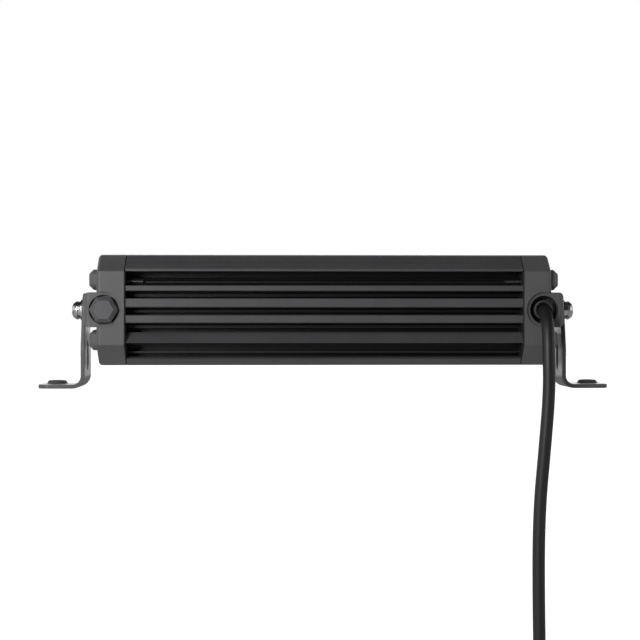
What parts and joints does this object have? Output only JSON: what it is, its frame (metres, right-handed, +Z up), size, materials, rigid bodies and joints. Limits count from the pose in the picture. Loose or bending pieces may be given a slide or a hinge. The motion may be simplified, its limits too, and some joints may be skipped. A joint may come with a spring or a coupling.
{
  "type": "led light bar",
  "caption": "Double-row light bar with a finned black housing, cast end caps, a lens front, a power lead and tilting foot brackets.",
  "frame": {"origin": "middle of the line through the two foot holes, on the underside of the feet", "axes": "+X along the bar, +Y the way the lamp shines, +Z up; the finned rear and the cable face -Y"},
  "size_m": [0.4132, 0.0975, 0.3362],
  "materials": {
    "housing_black": "satin black powder coat on an aluminium extrusion",
    "cap_black": "satin black powder coat on die-cast aluminium",
    "bracket_black": "smooth black powder coat on steel plate",
    "seal_rubber": "matt silicone",
    "screw_black": "black oxide",
    "stainless": "bright stainless",
    "lens_clear": "clear polycarbonate with a hard coat",
    "reflector_chrome": "vacuum metallised",
    "board_white": "white solder mask",
    "board_green": "green solder mask",
    "led_yellow": "phosphor under a clear dome",
    "pad_grey": "soft thermal pad",
    "component_black": "moulded epoxy and ferrite",
    "can_aluminium": "bare can",
    "terminal_green": "moulded",
    "wire_red": "insulated core",
    "wire_black": "insulated core",
    "plug_black": "moulded nylon",
    "membrane_white": "porous film",
    "cable_black": "satin sheath",
    "connector_grey": "moulded nylon",
    "connector_seal_orange": "silicone",
    "connector_orange": "moulded",
    "contact_brass": "tin and gold flashed brass"
  },
  "bodies": {
    "brackets": {"left_bracket": "bracket_black", "right_bracket": "bracket_black"},
    "lamp": {"housing_extrusion": "housing_black", "left_end_cap": "cap_black", "right_end_cap": "cap_black", "left_cap_gasket": "seal_rubber", "right_cap_gasket": "seal_rubber", "rear_cap_screws": "screw_black", "front_cap_screws": "screw_black", "lens": "lens_clear", "lens_seals": "seal_rubber", "reflector_tray": "reflector_chrome", "upper_led_board": "board_white", "lower_led_board": "board_white", "led_chips": "led_yellow", "thermal_pads": "pad_grey", "board_screws": "stainless", "driver_board": "board_green", "driver_inductors": "component_black", "driver_capacitors": "can_aluminium", "driver_chips": "component_black", "terminal_block": "terminal_green", "supply_wire_positive": "wire_red", "supply_wire_negative": "wire_black", "vent_plug": "plug_black", "vent_membrane": "membrane_white", "vent_o_ring": "seal_rubber", "cable_gland": "plug_black", "cable_seal": "seal_rubber", "power_cable": "cable_black", "cable_boot": "cable_black", "connector_body": "connector_grey", "connector_seal": "connector_seal_orange", "connector_lock": "connector_orange", "connector_contacts": "contact_brass", "pivot_screws": "stainless", "spring_washers": "stainless", "plain_washers": "stainless"}
  },
  "joints": [
    {"name": "tilt", "type": "hinge", "parent": "brackets", "child": "lamp", "pos_m": [0, 0, 0.0567], "axis": [1, 0, 0], "range_deg": [-28, 45]}
  ]
}
